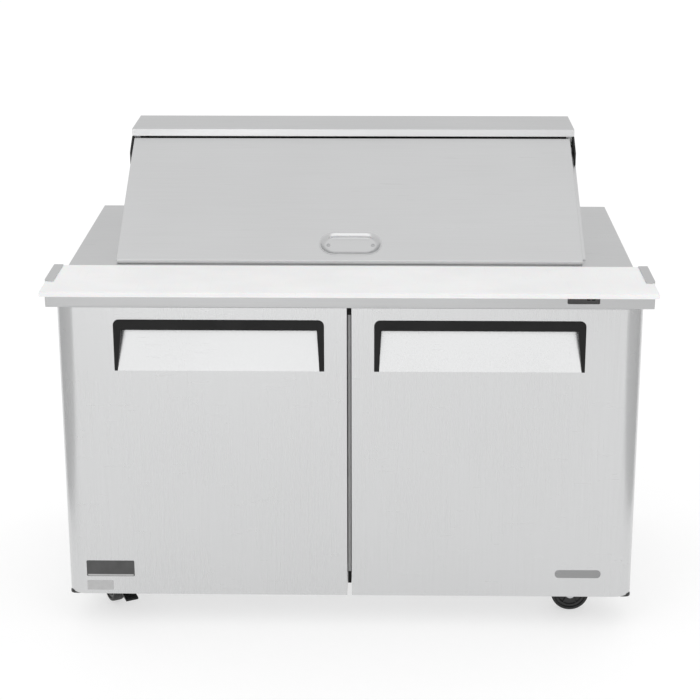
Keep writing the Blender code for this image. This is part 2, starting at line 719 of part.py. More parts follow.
def make_casters():
    for place, (x, y, swivel) in CASTERS.items():
        stand = Matrix.Translation((x, y, 0)) @ Matrix.Rotation(swivel, 4, "Z")
        stem = Vector((x, y, CROWN_TOP))
        hub = stand @ Vector((CASTER_TRAIL, 0, WHEEL_R))
        braked = place.startswith("front")
        pieces = [
            ("fork", caster_fork(braked), "zinc", stem),
            ("wheel", caster_wheel(), "tyre_rubber", hub),
            ("axle", caster_axle(), "zinc", hub),
        ]
        for piece, made, finish, pivot in pieces:
            made.data.transform(stand)
            name_node(made, f"caster_{piece}_{place}", finish, pivot)
        mount = caster_mount()
        mount.data.transform(Matrix.Translation((x, y, 0)))
        name_node(mount, f"caster_mount_{place}", "zinc", stem)
        if braked:
            pedal = brake_pedal()
            pedal.data.transform(stand)
            pivot = stand @ Vector((PEDAL_PIVOT.x, 0, PEDAL_PIVOT.y))
            name_node(pedal, f"brake_pedal_{place}", "black_plastic", pivot)


def comb_outline(start, end, base, spine, tip, pitch):
    """A finned block's outline: a spine with a row of teeth."""
    points = [(start, base), (end, base), (end, spine)]
    count = int((end - start) / pitch)
    tooth = pitch * 0.35
    for k in range(count):
        right = end - k * pitch - pitch * 0.3
        points += [(right, spine), (right, tip), (right - tooth, tip), (right - tooth, spine)]
    return points + [(start, spine)]


def fan_wheel(centre, radius, blades, low, high):
    """A hub with a shaft bore and pitched blades, turning about an axis along Y."""
    hub_r = radius * 0.24
    profile = [(0.0045, low), (hub_r, low), (hub_r, high), (0.0045, high)]
    fan = lathe(profile, "Y", centre, 20)
    pitch_turn = Matrix.Rotation(math.radians(28), 4, "X")
    for k in range(blades):
        blade = [(hub_r * 0.8, -0.020), (radius * 0.75, -0.034), (radius * 0.98, -0.020),
                 (radius * 0.98, 0.020), (radius * 0.75, 0.030), (hub_r * 0.8, 0.016)]
        shape = prism(blade, "Y", -0.0012, 0.0012)
        scale = (high - low) / 0.045
        shape.data.transform(pitch_turn)
        shape.data.transform(Matrix.Diagonal((1, scale, scale, 1)))
        middle = Vector(centre) + Vector((0, (low + high) / 2, 0))
        turned = Matrix.Translation(middle) @ Matrix.Rotation(2 * math.pi * k / blades, 4, "Y")
        shape.data.transform(turned)
        join(fan, shape)
    return fan


def add_motor(target, centre, ring_r, plate_low, plate_high, can_low, shaft_high, can_r):
    """Joins a fan motor on three arms across a round opening, with its shaft through the fan."""
    inset = 0.0004
    join(target, rod("Y", centre, can_r, can_low, plate_high, 24))
    for k in range(3):
        arm = box((0, plate_low + inset, -0.006), (ring_r + 0.006, plate_high - inset, 0.006))
        arm.data.transform(Matrix.Rotation(2 * math.pi * k / 3 + math.pi / 2, 4, "Y"))
        arm.data.transform(Matrix.Translation((centre[0], 0, centre[2])))
        join(target, arm)
    join(target, rod("Y", centre, 0.004, plate_low, shaft_high, 12))


def make_machine():
    base = box((-MACHINE_HALF + 0.0005, MACHINE_FRONT + 0.0005, CABINET_BOTTOM + GAP),
               (MACHINE_HALF - 0.0005, BODY_REAR - GAP, CABINET_BOTTOM + 0.0043))
    name_node(base, "machine_base", "stainless_dull")

    floor = CABINET_BOTTOM + 0.0046
    x, y = COMPRESSOR
    unit = box((x - 0.105, y - 0.080, floor), (x + 0.105, y + 0.080, floor + 0.006))
    dome = [(0, floor + 0.004), (0.066, floor + 0.004), (0.078, floor + 0.025), (0.080, floor + 0.095),
            (0.078, floor + 0.120), (0.066, floor + 0.165), (0.040, floor + 0.188), (0, floor + 0.196)]
    join(unit, lathe(dome, "Z", (x, y, 0), 28))
    join(unit, box((x + 0.060, y - 0.032, floor + 0.050), (x + 0.112, y + 0.032, floor + 0.115)))
    name_node(unit, "compressor", "compressor_black")

    low_x, high_x = CONDENSER_X
    low_z, high_z = CONDENSER_Z
    fins = comb_outline(low_x, high_x, CONDENSER_Y, CONDENSER_Y + 0.014, CONDENSER_Y + 0.038, 0.016)
    name_node(prism(fins, "Z", low_z, high_z), "condenser_coil", "aluminium")

    wall = 0.003
    back = CONDENSER_Y - GAP
    front = back - 0.040
    centre = ((low_x + high_x) / 2, 0, (low_z + high_z) / 2)
    shroud = box((low_x, front, low_z), (high_x, back, high_z))
    cut(shroud, box((low_x + wall, front + wall, low_z + wall), (high_x - wall, back + 0.02, high_z - wall)))
    opening = CONDENSER_FAN_R + 0.008
    cut(shroud, rod("Y", centre, opening, front - 0.01, front + 0.01, 32))
    add_motor(shroud, centre, opening, front, front + wall, front - 0.040, front + 0.032, 0.034)
    name_node(shroud, "condenser_shroud", "zinc")
    fan = fan_wheel(centre, CONDENSER_FAN_R, 5, front + 0.0065, front + 0.034)
    name_node(fan, "condenser_fan", "fan_plastic", (centre[0], front + 0.020, centre[2]))

    grille = box((-GRILLE_HALF, BODY_REAR + GAP, GRILLE_Z[0]), (GRILLE_HALF, REAR_Y, GRILLE_Z[1]))
    for column in (-LOUVRE_CENTRE, LOUVRE_CENTRE):
        for row in range(LOUVRES):
            z = GRILLE_Z[0] + 0.054 + row * LOUVRE_PITCH
            low = (column - LOUVRE_HALF, BODY_REAR - 0.01, z)
            cut(grille, box(low, (column + LOUVRE_HALF, REAR_Y + 0.01, z + LOUVRE_GAP)))
    name_node(grille, "rear_grille", "stainless_dull")


def make_evaporator():
    wall = 0.002
    front, back = EVAPORATOR_Y
    low, high = EVAPORATOR_Z
    centre = (0, 0, (low + high) / 2)
    cover = box((-EVAPORATOR_HALF, front, low), (EVAPORATOR_HALF, back, high))
    inner = EVAPORATOR_HALF - wall
    cut(cover, box((-inner, front + wall, low + wall), (inner, back + 0.02, high - wall)))
    opening = EVAPORATOR_FAN_R + 0.005
    cut(cover, rod("Y", centre, opening, front - 0.01, front + 0.01, 28))
    for side in (-1, 1):
        ends = sorted((side * 0.120, side * 0.230))
        cut(cover, box((ends[0], front + 0.02, low - 0.01), (ends[1], back - 0.02, low + 0.01)))
    add_motor(cover, centre, opening, front, front + wall, front - 0.030, front + 0.034, 0.026)
    name_node(cover, "evaporator_cover", "white_plastic")

    fins = comb_outline(-0.245, 0.245, back - 0.050, back - 0.034, back - 0.004, 0.020)
    name_node(prism(fins, "Z", low + 0.015, high - 0.015), "evaporator_coil", "aluminium")
    fan = fan_wheel(centre, EVAPORATOR_FAN_R, 5, front + 0.010, front + 0.036)
    name_node(fan, "evaporator_fan", "fan_plastic", (0, front + 0.022, centre[2]))


def make_shelves():
    low, high = SHELF_Z
    near, far = SHELF_Y
    bar = SHELF_BAR
    for side, flip in (("left", -1), ("right", 1)):
        ends = sorted((flip * SHELF_X[0], flip * SHELF_X[1]))
        shelf = box((ends[0], near, low), (ends[1], far, high))
        pitch = (ends[1] - ends[0] - bar) / SHELF_SPACES
        for k in range(SHELF_SPACES):
            x = ends[0] + bar + k * pitch
            cut(shelf, box((x, near + bar, low - 0.01), (x + pitch - bar, far - bar, high + 0.01)))
        name_node(shelf, f"shelf_{side}", "wire_coating")


clear_scene()
make_cabinet()
make_worktop()
make_front_rail()
make_board()
make_pans()
make_hood()
make_lid()
make_doors()
make_casters()
make_machine()
make_evaporator()
make_shelves()
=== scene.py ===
import json
import math

import bmesh
import bpy
from mathutils import Matrix, Vector


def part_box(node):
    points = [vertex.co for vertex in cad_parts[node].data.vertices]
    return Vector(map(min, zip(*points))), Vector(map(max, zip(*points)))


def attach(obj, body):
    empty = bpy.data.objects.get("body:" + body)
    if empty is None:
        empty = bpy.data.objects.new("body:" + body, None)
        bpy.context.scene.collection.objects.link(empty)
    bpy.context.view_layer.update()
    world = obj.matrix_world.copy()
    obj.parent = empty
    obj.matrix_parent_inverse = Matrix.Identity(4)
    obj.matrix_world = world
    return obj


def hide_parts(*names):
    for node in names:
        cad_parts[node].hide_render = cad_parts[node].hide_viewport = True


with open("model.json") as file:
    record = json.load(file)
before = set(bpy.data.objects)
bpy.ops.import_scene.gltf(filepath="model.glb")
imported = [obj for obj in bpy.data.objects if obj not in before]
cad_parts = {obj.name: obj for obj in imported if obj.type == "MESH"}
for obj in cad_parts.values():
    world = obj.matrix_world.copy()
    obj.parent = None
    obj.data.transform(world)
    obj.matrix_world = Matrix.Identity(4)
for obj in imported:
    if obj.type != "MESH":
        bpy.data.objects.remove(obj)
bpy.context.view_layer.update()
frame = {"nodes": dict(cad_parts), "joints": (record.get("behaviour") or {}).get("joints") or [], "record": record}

JOINTS = {joint["name"]: joint for joint in frame["joints"]}
SIDES = (("left", -1), ("right", 1))
PLACES = ("front_left", "front_right", "rear_left", "rear_right")
BODY_OF = {node: body for body, nodes in frame["record"]["behaviour"]["bodies"].items() for node in nodes}
SLOT_OF = {entry["node"]: entry["material_slot"] for entry in frame["record"]["subparts"]}
AXES = {
    "X": Matrix(((0, 0, 1), (1, 0, 0), (0, 1, 0))),
    "Y": Matrix(((1, 0, 0), (0, 0, 1), (0, 1, 0))),
    "Z": Matrix.Identity(3),
}


# Materials

def add(tree, kind, settings=None, **inputs):
    """A shader node with its settings and sockets; a socket name's spaces are written as underscores."""
    made = tree.nodes.new("ShaderNode" + kind)
    for key, value in (settings or {}).items():
        setattr(made, key, value)
    for key, value in inputs.items():
        socket = made.inputs[key.replace("_", " ")]
        if isinstance(value, bpy.types.NodeSocket):
            tree.links.new(value, socket)
        else:
            socket.default_value = value
    return made


def noise(tree, coords, scale, detail=3.0, stretch=(1.0, 1.0, 1.0), turn=(0.0, 0.0, 0.0)):
    moved = add(tree, "Mapping", Vector=coords, Scale=stretch, Rotation=turn)
    return add(tree, "TexNoise", Vector=moved.outputs["Vector"], Scale=scale, Detail=detail).outputs["Fac"]


def ranged(tree, value, low, high, start=0.3, end=0.7):
    made = add(tree, "MapRange", Value=value, From_Min=start, From_Max=end, To_Min=low, To_Max=high)
    return made.outputs["Result"]


def ramp(tree, value, *stops):
    made = add(tree, "ValToRGB", Fac=value)
    points = made.color_ramp.elements
    while len(points) < len(stops):
        points.new(0.5)
    for point, (place, colour) in zip(points, stops):
        point.position = place
        point.color = (*colour, 1.0)
    return made.outputs["Color"]


def maths(tree, operation, a, b):
    made = add(tree, "Math", {"operation": operation})
    for socket, value in zip(made.inputs, (a, b)):
        if isinstance(value, bpy.types.NodeSocket):
            tree.links.new(value, socket)
        else:
            socket.default_value = value
    return made.outputs["Value"]


def finish(name, dark, light, rough, metallic=0.0, fine=(400.0, (1, 1, 1)), depth=0.0001, broad=5.0,
           share=0.5, marks=(), **fixed):
    """A surface with fine grain, broad mottling and optional layers of thin marks."""
    made = bpy.data.materials.new(name)
    made.use_nodes = True
    tree = made.node_tree
    shader = tree.nodes["Principled BSDF"]
    shader.inputs["Metallic"].default_value = metallic
    for key, value in fixed.items():
        shader.inputs[key.replace("_", " ")].default_value = value
    coords = add(tree, "TexCoord").outputs["Object"]
    grain = noise(tree, coords, fine[0], 5.0, fine[1])
    mottle = noise(tree, coords, broad, 2.0)
    fine_part = maths(tree, "MULTIPLY", grain, share)
    broad_part = maths(tree, "MULTIPLY", mottle, 1 - share)
    mixed = maths(tree, "ADD", fine_part, broad_part)
    height = grain
    for scale, stretch, turn, edge in marks:
        line = ranged(tree, noise(tree, coords, scale, 2.0, stretch, turn), 0.0, 1.0, edge, edge + 0.02)
        height = maths(tree, "SUBTRACT", height, line)
        mixed = maths(tree, "SUBTRACT", mixed, maths(tree, "MULTIPLY", line, 0.25))
    tree.links.new(ramp(tree, mixed, (0.32, dark), (0.68, light)), shader.inputs["Base Color"])
    tree.links.new(ranged(tree, mixed, rough[1], rough[0]), shader.inputs["Roughness"])
    bump = add(tree, "Bump", Height=height, Distance=depth, Strength=0.6)
    tree.links.new(bump.outputs["Normal"], shader.inputs["Normal"])
    return made


def grey(value, tint=0.0):
    return (value * (1 - tint), value, value * (1 + tint))


def steel(name, level, grain, rough=(0.27, 0.40)):
    """Brushed stainless: a polish grain drawn out along one axis, and faint scuffs across it."""
    stretch = [620.0, 620.0, 620.0]
    stretch["XYZ".index(grain)] = 5.0
    scuff = (1.0, (9.0, 60.0, 260.0), (0.3, 0.5, 0.2), 0.70)
    return finish(name, grey(level * 0.970, 0.004), grey(level * 1.02, 0.006), rough, 1.0, (1.0, stretch),
                  0.00002, 2.6, 0.55, (scuff,))


STEEL_X = steel("steel_grain_across", 0.66, "X")
STEEL_Z = steel("steel_grain_upright", 0.62, "Z", (0.20, 0.31))
STEEL_Y = steel("steel_grain_deep", 0.62, "Y")
# A darker copy of the stainless for the front rail and its hem: painted shade for the shadow under the cutting
# board.
STEEL_RAIL_PAINTED_SHADE = steel("steel_rail_painted_shade", 0.49, "X")
STEEL_CUP = steel("steel_cup", 0.64, "X", (0.16, 0.26))
STEEL_BADGE = steel("steel_badge", 0.30, "X")
STEEL_DULL = steel("steel_inside", 0.55, "X", (0.36, 0.50))
PAN_STEEL = finish("pan_steel", grey(0.50), grey(0.58), (0.22, 0.36), 1.0, (260.0, (1, 1, 1)), 0.00005, 9.0)
GALVANISED = finish("galvanised", grey(0.42, 0.01), grey(0.58, 0.01), (0.34, 0.52), 1.0, (26.0, (1, 1, 1)),
                    0.00008, 70.0)
ZINC = finish("zinc_plate", grey(0.46, 0.01), grey(0.60, 0.015), (0.28, 0.46), 1.0, (240.0, (1, 1, 1)),
              0.00008, 30.0)
KNIFE_MARKS = (
    (1.0, (7.0, 420.0, 90.0), (0.0, 0.0, 0.25), 0.655),
    (1.0, (300.0, 6.0, 90.0), (0.0, 0.0, 0.20), 0.675),
)
BOARD_WHITE = finish("board_polyethylene", grey(0.84), grey(0.90), (0.40, 0.52), 0.0, (700.0, (1, 1, 1)),
                     0.00015, 7.0, 0.35, KNIFE_MARKS, Subsurface_Weight=0.12, Subsurface_Scale=0.004)
BLACK_PLASTIC = finish("black_plastic", grey(0.006), grey(0.012), (0.36, 0.52), 0.0, (1100.0, (1, 1, 1)),
                       0.00012, 14.0, Specular_IOR_Level=0.20)
LINER_BLACK = finish("liner_black", grey(0.004), grey(0.008), (0.55, 0.75), 0.0, (700.0, (1, 1, 1)),
                     0.0001, 14.0)
WHITE_PLASTIC = finish("white_plastic", grey(0.74), grey(0.82), (0.24, 0.36), 0.0, (330.0, (1, 1, 1)),
                       0.00009, 6.0)
GASKET = finish("gasket_vinyl", grey(0.085), grey(0.13), (0.50, 0.66), 0.0, (500.0, (1, 1, 1)), 0.0001, 18.0)
GASKET_MID = finish("gasket_mid", grey(0.60), grey(0.68), (0.45, 0.60), 0.0, (500.0, (1, 1, 1)), 0.0001, 18.0)
SEAL_LIGHT = finish("seal_light", grey(0.44), grey(0.52), (0.45, 0.60), 0.0, (420.0, (1, 1, 1)), 0.00008,
                    20.0)
RUBBER = finish("tyre_rubber", grey(0.010), grey(0.020), (0.48, 0.68), 0.0, (620.0, (1, 1, 1)), 0.0002, 22.0)
HUB_PLASTIC = finish("hub_plastic", grey(0.010), grey(0.017), (0.36, 0.52), 0.0, (800.0, (1, 1, 1)),
                     0.0001, 20.0)
FIN_METAL = finish("fin_aluminium", grey(0.62, 0.01), grey(0.74, 0.01), (0.30, 0.46), 1.0,
                   (1.0, (700, 700, 12)), 0.00005, 12.0)
ENAMEL = finish("black_enamel", grey(0.010), grey(0.018), (0.18, 0.32), 0.0, (210.0, (1, 1, 1)), 0.00012,
                9.0, Coat_Weight=0.4, Coat_Roughness=0.12)
COPPER = finish("copper_pipe", (0.50, 0.22, 0.12), (0.78, 0.40, 0.25), (0.22, 0.44), 1.0,
                (180.0, (1, 1, 1)), 0.00005, 26.0)
DISPLAY = finish("display_window", grey(0.004), grey(0.009), (0.06, 0.16), 0.0, (500.0, (1, 1, 1)), 0.00002,
                 30.0, Coat_Weight=0.6, Coat_Roughness=0.05)
COATED_WIRE = finish("coated_wire", grey(0.60), grey(0.70), (0.26, 0.40), 0.0, (300.0, (1, 1, 1)), 0.00006,
                     20.0, Coat_Weight=0.3, Coat_Roughness=0.2)
LABEL_DARK = finish("label_dark", grey(0.050), grey(0.075), (0.42, 0.52), 0.0, (900.0, (1, 1, 1)), 0.00003,
                    40.0)
LABEL_LIGHT = finish("label_light", grey(0.42), grey(0.50), (0.40, 0.50), 0.0, (900.0, (1, 1, 1)), 0.00003,
                     40.0)


# Shapes

def placed(bm, name):
    bmesh.ops.recalc_face_normals(bm, faces=bm.faces)
    mesh = bpy.data.meshes.new(name)
    bm.to_mesh(mesh)
    bm.free()
    made = bpy.data.objects.new(name, mesh)
    bpy.context.scene.collection.objects.link(made)
    return made


def dress(piece, material, body, nodes=(), slot=None, bevel=0.0, segments=2, sharp=32):
    """Gives a piece its finish, rounds its edges, and sets what it rides on and stands for."""
    piece.data.materials.clear()
    piece.data.materials.append(material)
    piece.data.shade_smooth()
    if bevel:
        rounding = piece.modifiers.new("rounded", "BEVEL")
        rounding.width = bevel
        rounding.segments = segments
        rounding.limit_method = "ANGLE"
        rounding.angle_limit = math.radians(sharp)
    else:
        piece.data.set_sharp_from_angle(angle=math.radians(sharp))
    even = piece.modifiers.new("even", "WEIGHTED_NORMAL")
    even.keep_sharp = True
    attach(piece, body)
    if nodes:
        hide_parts(*nodes)
        slot = slot or SLOT_OF[nodes[0]]
    return piece


def prism(outline, axis, low, high):
    """An outline drawn out along an axis, from low to high."""
    turn = AXES[axis]
    return skin([[turn @ Vector((u, v, level)) for u, v in outline] for level in (low, high)])


def block(low, high):
    bm = bmesh.new()
    middle = (Vector(low) + Vector(high)) / 2
    size = Vector(high) - Vector(low)
    bmesh.ops.create_cube(bm, size=1.0, matrix=Matrix.Translation(middle) @ Matrix.Diagonal((*size, 1.0)))
    return bm


def skin(rings, loop=False, caps=True):
    """Faces between rings of equally many points, each ring closed on itself."""
    bm = bmesh.new()
    made = [[bm.verts.new(p) for p in ring] for ring in rings]
    pairs = list(zip(made, made[1:]))
    if loop:
        pairs.append((made[-1], made[0]))
    for low, high in pairs:
        for k in range(len(low)):
            j = (k + 1) % len(low)
            bm.faces.new((low[k], low[j], high[j], high[k]))
    if caps and not loop:
        bm.faces.new(made[0])
        bm.faces.new(made[-1])
    return bm


def turned(profile, axis="Z", centre=(0, 0, 0), steps=48):
    """A profile of (radius, height) turned about an axis: a ring if it starts off the axis, else capped."""
    turn = AXES[axis]
    rings = []
    for radius, height in profile:
        radius = max(radius, 0.00005)
        angles = [2 * math.pi * k / steps for k in range(steps)]
        spots = [(radius * math.cos(a), radius * math.sin(a), height) for a in angles]
        rings.append([turn @ Vector(p) + Vector(centre) for p in spots])
    return skin(rings, loop=profile[0][0] > 0)


def sweep(points, radius, steps=10, loop=False):
    """A round bar along a path."""
    path = [Vector(p) for p in points]
    count = len(path)
    rings = []
    side = None
    for k, spot in enumerate(path):
        before = path[(k - 1) % count] if loop or k else spot
        after = path[(k + 1) % count] if loop or k < count - 1 else spot
        along = (after - before).normalized()
        if side is None:
            side = along.orthogonal().normalized()
        side = (side - along * side.dot(along)).normalized()
        up = along.cross(side)
        rings.append([spot + radius * (math.cos(a) * side + math.sin(a) * up)
                      for a in (2 * math.pi * i / steps for i in range(steps))])
    return skin(rings, loop=loop)


def arc(centre, radius, start, end, steps):
    spread = [math.radians(start + (end - start) * k / steps) for k in range(steps + 1)]
    return [(centre[0] + radius * math.cos(a), centre[1] + radius * math.sin(a)) for a in spread]


def rounded(half_x, half_y, radius, steps=6, centre=(0, 0)):
    """A rectangle with round corners, counter-clockwise."""
    points = []
    for sx, sy, start in ((1, -1, -90), (1, 1, 0), (-1, 1, 90), (-1, -1, 180)):
        corner = (centre[0] + sx * (half_x - radius), centre[1] + sy * (half_y - radius))
        points += arc(corner, radius, start, start + 90, steps)
    return points


def merged(*parts):
    """Several bmeshes as one."""
    whole = bmesh.new()
    for part in parts:
        mesh = bpy.data.meshes.new("part")
        part.to_mesh(mesh)
        part.free()
        whole.from_mesh(mesh)
        bpy.data.meshes.remove(mesh)
    return whole


def cut(piece, bm):
    """Cuts a bmesh's shape out of a piece."""
    tool = placed(bm, "tool")
    modifier = piece.modifiers.new("cut", "BOOLEAN")
    modifier.operation = "DIFFERENCE"
    modifier.object = tool
    bpy.context.view_layer.update()
    graph = bpy.context.evaluated_depsgraph_get()
    result = bpy.data.meshes.new_from_object(piece.evaluated_get(graph))
    piece.modifiers.remove(modifier)
    piece.data = result
    bpy.data.objects.remove(tool, do_unlink=True)


def cut_base(piece, bm):
    """Cuts a piece that already has its edge rounding, so that the rounding follows the cut."""
    for modifier in piece.modifiers:
        modifier.show_viewport = False
    cut(piece, bm)
    for modifier in piece.modifiers:
        modifier.show_viewport = True


def refined(node, material, bevel=0.0008, segments=2, sharp=32):
    """The CAD node's own shape with its coplanar faces merged and its edges rounded."""
    bm = bmesh.new()
    bm.from_mesh(frame["nodes"][node].data)
    bmesh.ops.remove_doubles(bm, verts=bm.verts, dist=0.00001)
    bmesh.ops.dissolve_limit(bm, angle_limit=math.radians(0.4), verts=bm.verts, edges=bm.edges)
    piece = placed(bm, node + "_finished")
    return dress(piece, material, BODY_OF[node], (node,), bevel=bevel, segments=segments, sharp=sharp)


def centre_of(node):
    low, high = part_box(node)
    return (Vector(low) + Vector(high)) / 2


def moved(bm, matrix):
    bm.transform(matrix)
    return bm


def mitred(low, high, profile):
    """A rectangular frame in the XZ plane: each profile point is (inset from the rim, y)."""
    rings = []
    for sx, sz in ((0, 0), (1, 0), (1, 1), (0, 1)):
        corner = ((low[0], high[0])[sx], (low[1], high[1])[sz])
        inward = (1 - 2 * sx, 1 - 2 * sz)
        rings.append([(corner[0] + inward[0] * u, y, corner[1] + inward[1] * u) for u, y in profile])
    return skin(rings, loop=True)


def facing_up(x, y, level):
    return (x, y, level)


def facing_front(x, z, level):
    return (x, level, z)


def stepped(levels, centre, place, steps=6):
    """Stacked rounded rectangles of (half width, half height, radius, level), capped at both ends."""
    rings = []
    for half_x, half_y, radius, level in levels:
        rings.append([place(x, y, level) for x, y in rounded(half_x, half_y, radius, steps, centre)])
    return skin(rings)


def bent(points, bend, steps=6):
    """A path whose corners are rounded off over the given length."""
    path = [Vector(p) for p in points]
    smooth = [path[0]]
    for before, corner, after in zip(path, path[1:], path[2:]):
        start = corner + (before - corner).normalized() * bend
        end = corner + (after - corner).normalized() * bend
        for k in range(steps + 1):
            t = k / steps
            smooth.append(start * (1 - t) ** 2 + corner * 2 * t * (1 - t) + end * t ** 2)
    return smooth + [path[-1]]


def hexagon(radius, centre=(0, 0)):
    return [(centre[0] + radius * math.cos(math.pi * k / 3), centre[1] + radius * math.sin(math.pi * k / 3))
            for k in range(6)]


def screw(place, axis, out, radius=0.0042, proud=0.0016):
    """A domed screw head; out is +1 or -1 along the axis."""
    dome = [(0, 0), (radius, 0), (radius, proud * 0.35), (radius * 0.8, proud * 0.8), (radius * 0.3, proud),
            (0, proud)]
    return turned([(r, out * h) for r, h in dome], axis, place, 16)


# Camera, floor and light

CAMERA_PLACE = (0.0827, -4.5736, 2.2371)
CAMERA_TILT = 0.2924
CAMERA_ROLL = 0.0017
CAMERA_TURN = 0.0184
CAMERA_LENS = 91.185
CAMERA_SHIFT = -0.10


def make_camera():
    data = bpy.data.cameras.new("camera")
    data.sensor_width = 36.0
    data.lens = CAMERA_LENS
    data.shift_y = CAMERA_SHIFT
    camera = bpy.data.objects.new("camera", data)
    bpy.context.scene.collection.objects.link(camera)
    camera.location = CAMERA_PLACE
    camera.rotation_euler = (math.pi / 2 - CAMERA_TILT, CAMERA_ROLL, CAMERA_TURN)
    bpy.context.scene.camera = camera


def make_floor():
    bm = bmesh.new()
    bmesh.ops.create_grid(bm, x_segments=8, y_segments=8, size=30.0)
    floor = placed(bm, "floor")
    paper = finish("floor_paper", grey(0.44), grey(0.46), (0.8, 0.9), 0.0, (90.0, (1, 1, 1)), 0.0001, 0.8,
                   Emission_Color=(1.0, 1.0, 1.0, 1.0), Emission_Strength=0.58)
    floor.data.materials.append(paper)


def make_side_cards():
    """Grey cards left and right, seen only in reflections, which shade the curved door edges."""
    for side, flip in SIDES:
        card = placed(block((flip * 1.5 - 0.01, -3.4, 0.0), (flip * 1.5 + 0.01, 0.2, 1.0)), f"card_{side}")
        card.data.materials.append(finish(f"card_paper_{side}", grey(0.72), grey(0.76), (0.8, 0.9)))
        hide_card(card)


def hide_card(card):
    card.visible_camera = False
    card.visible_shadow = False
    card.visible_diffuse = False


def make_lip_card():
    """A bright card on the floor far in front, which only the hood's lip mirrors."""
    card = placed(block((-2.8, -8.0, 0.002), (0.0, -4.9, 0.006)), "card_lip")
    glow = finish("card_lip_paper", grey(0.80), grey(0.84), (0.8, 0.9), Emission_Color=(1.0, 1.0, 1.0, 1.0),
                  Emission_Strength=1.6)
    card.data.materials.append(glow)
    hide_card(card)


def area_light(name, place, target, size, power):
    """A soft box that lights the matt surfaces and keeps out of the reflections."""
    data = bpy.data.lights.new(name, "AREA")
    data.shape = "RECTANGLE"
    data.size, data.size_y = size
    data.energy = power
    light = bpy.data.objects.new(name, data)
    light.location = place
    light.rotation_euler = (Vector(target) - Vector(place)).to_track_quat("-Z", "Y").to_euler()
    light.visible_glossy = False
    bpy.context.scene.collection.objects.link(light)


def make_light():
    """A studio whose brightness depends on direction, and is set apart for matt surfaces and the camera."""
    world = bpy.data.worlds.new("studio")
    world.use_nodes = True
    bpy.context.scene.world = world
    tree = world.node_tree
    heading = add(tree, "SeparateXYZ", Vector=add(tree, "TexCoord").outputs["Generated"])
    facing = ranged(tree, heading.outputs["Y"], 0.0, 1.0, 1.0, -1.0)
    around = ramp(tree, facing, (0.0, grey(0.74)), (0.35, grey(0.78)), (0.60, grey(0.80)),
                  (0.90, grey(0.84)), (0.965, grey(1.38)))
    above = ranged(tree, heading.outputs["Z"], 0.0, 0.16, 0.3, 1.0)
    level = maths(tree, "ADD", around, above)
    soft = ranged(tree, heading.outputs["Z"], 0.68, 1.10, 0.0, 1.0)
    ray = add(tree, "LightPath")
    matt = maths(tree, "MULTIPLY", maths(tree, "SUBTRACT", soft, level), ray.outputs["Is Diffuse Ray"])
    level = maths(tree, "ADD", level, matt)
    seen = ray.outputs["Is Camera Ray"]
    strength = maths(tree, "MAXIMUM", level, maths(tree, "MULTIPLY", seen, 1.06))
    back = tree.nodes["Background"]
    back.inputs["Color"].default_value = (1.0, 1.0, 1.0, 1.0)
    tree.links.new(strength, back.inputs["Strength"])
    area_light("key", (-2.4, -4.0, 4.2), (0.0, 0.0, 0.6), (2.4, 2.4), 18.0)
    area_light("fill", (2.8, -3.6, 3.2), (0.0, 0.0, 0.5), (2.4, 2.4), 12.0)
    bpy.context.scene.view_settings.view_transform = "Standard"


make_camera()
make_floor()
make_side_cards()
make_lip_card()
make_light()


# Sheet-metal body

# Heights of the black stops at the ends of the door gap: painted shade for the dark shade there.
MULLION_PAINTED_SHADE_STOPS = ((0.1175, 0.1510), (0.8620, 0.8920))
MULLION_STRIP = (0.1505, 0.8625)


def make_mullion_strip():
    """The strip that fills the gap between the doors, with a black stop at each end as painted shade for the dark
    shade at the gap's ends.
    """
    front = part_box("cabinet_body")[0].y
    half = [(0.0028, 0.0386), (0.0042, 0.0372), (0.0042, 0.0020), (0.0050, 0.0014), (0.0085, 0.0014),
            (0.0100, 0.0008), (0.0100, -0.0002)]
    bead = [(-x, front - proud) for x, proud in reversed(half)] + [(x, front - proud) for x, proud in half]
    dress(placed(prism(bead, "Z", *MULLION_STRIP), "mullion_strip"), GASKET_MID, "table",
          slot="gasket_grey", sharp=50)
    outline = rounded(0.0047, 0.0197, 0.0012, 4, (0.0, front - 0.0199))
    # The black end stops are painted shade for the dark shade at the top and bottom of the gap.
    stops = [prism(outline, "Z", *ends) for ends in MULLION_PAINTED_SHADE_STOPS]
    dress(placed(merged(*stops), "mullion_painted_shade_stops"), BLACK_PLASTIC, "table", slot="black_plastic",
          bevel=0.0005)


def make_body():
    refined("cabinet_body", STEEL_Z, 0.0012)
    refined("interior_liner", STEEL_DULL, 0.0)
    refined("worktop", STEEL_X, 0.0012, 3)
    # The front rail and its hem take the darker steel, painted shade for the board's shadow.
    refined("front_rail", STEEL_RAIL_PAINTED_SHADE, 0.0016, 3)
    refined("hood_shell", STEEL_X, 0.0016, 3)
    low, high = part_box("front_rail")
    hem = [(0.0003, 0.0006), (0.0003, -0.0036), (0.0008, -0.0044), (0.0020, -0.0047), (0.0030, -0.0042),
           (0.0033, -0.0034), (0.0033, 0.0006)]
    strip = prism([(low.y + y, low.z + z) for y, z in hem], "X", low.x + 0.0004, high.x - 0.0004)
    dress(placed(strip, "rail_hem"), STEEL_RAIL_PAINTED_SHADE, "table", slot="stainless", sharp=50)
    refined("hood_liner", LINER_BLACK, 0.0004)
    for side, _ in SIDES:
        refined(f"board_bracket_{side}", STEEL_Y, 0.0005)
        refined(f"lid_pivot_bracket_{side}", LINER_BLACK, 0.0004)
    refined("machine_base", GALVANISED, 0.0006)
    make_mullion_strip()
    refined("pan_frame", STEEL_DULL, 0.0008)


